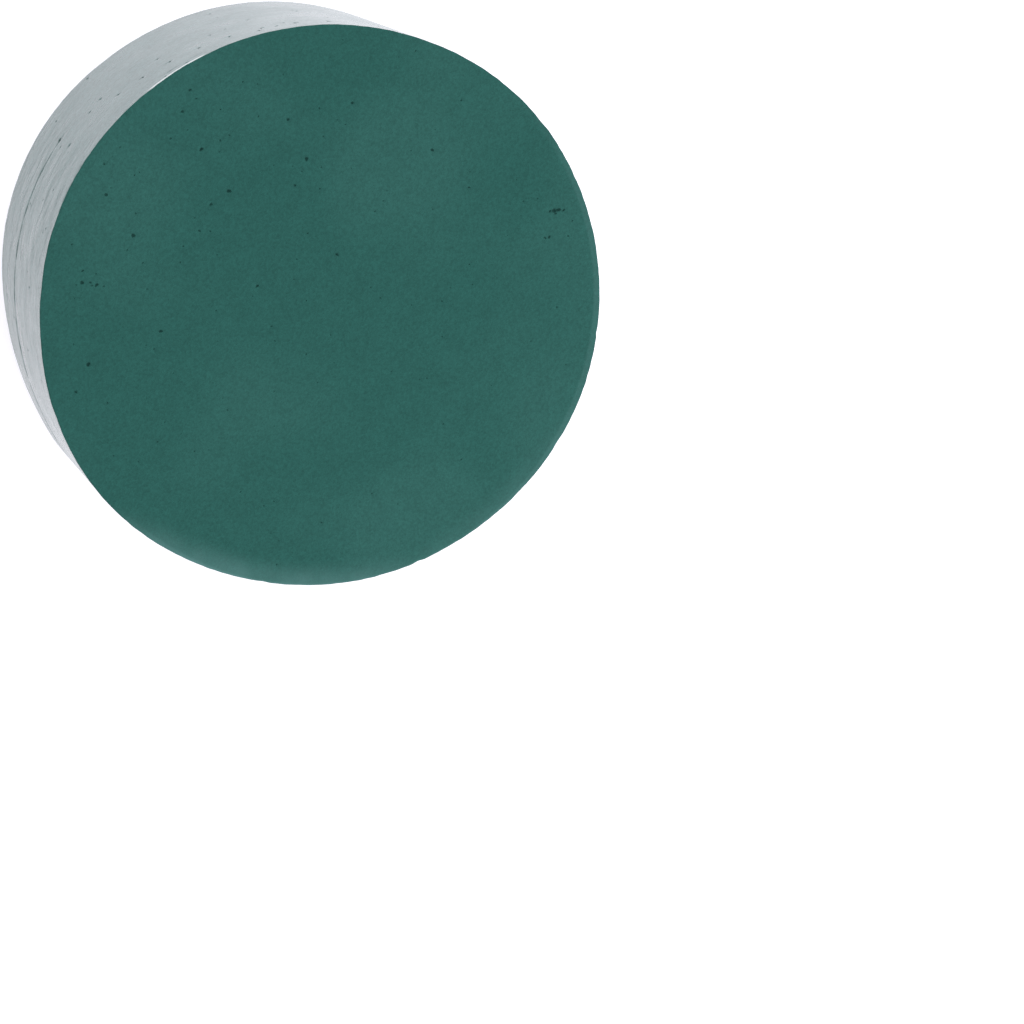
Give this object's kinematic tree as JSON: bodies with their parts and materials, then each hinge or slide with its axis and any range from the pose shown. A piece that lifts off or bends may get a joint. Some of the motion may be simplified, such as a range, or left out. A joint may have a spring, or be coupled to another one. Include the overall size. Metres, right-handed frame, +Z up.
{
  "type": "round floral foam block",
  "caption": "Round flat-faced block of dark green open-cell floral foam that takes up water and holds cut stems pushed into it.",
  "frame": {"origin": "centre of the round base face, on the surface that the block lies on", "axes": "+Z up along the block's round axis, out of the top face; the score line in the side wall faces -Y"},
  "size_m": [0.178, 0.178, 0.076],
  "materials": {
    "floral_foam": "matte"
  },
  "bodies": {
    "root": {"foam_block": "floral_foam"}
  },
  "joints": []
}
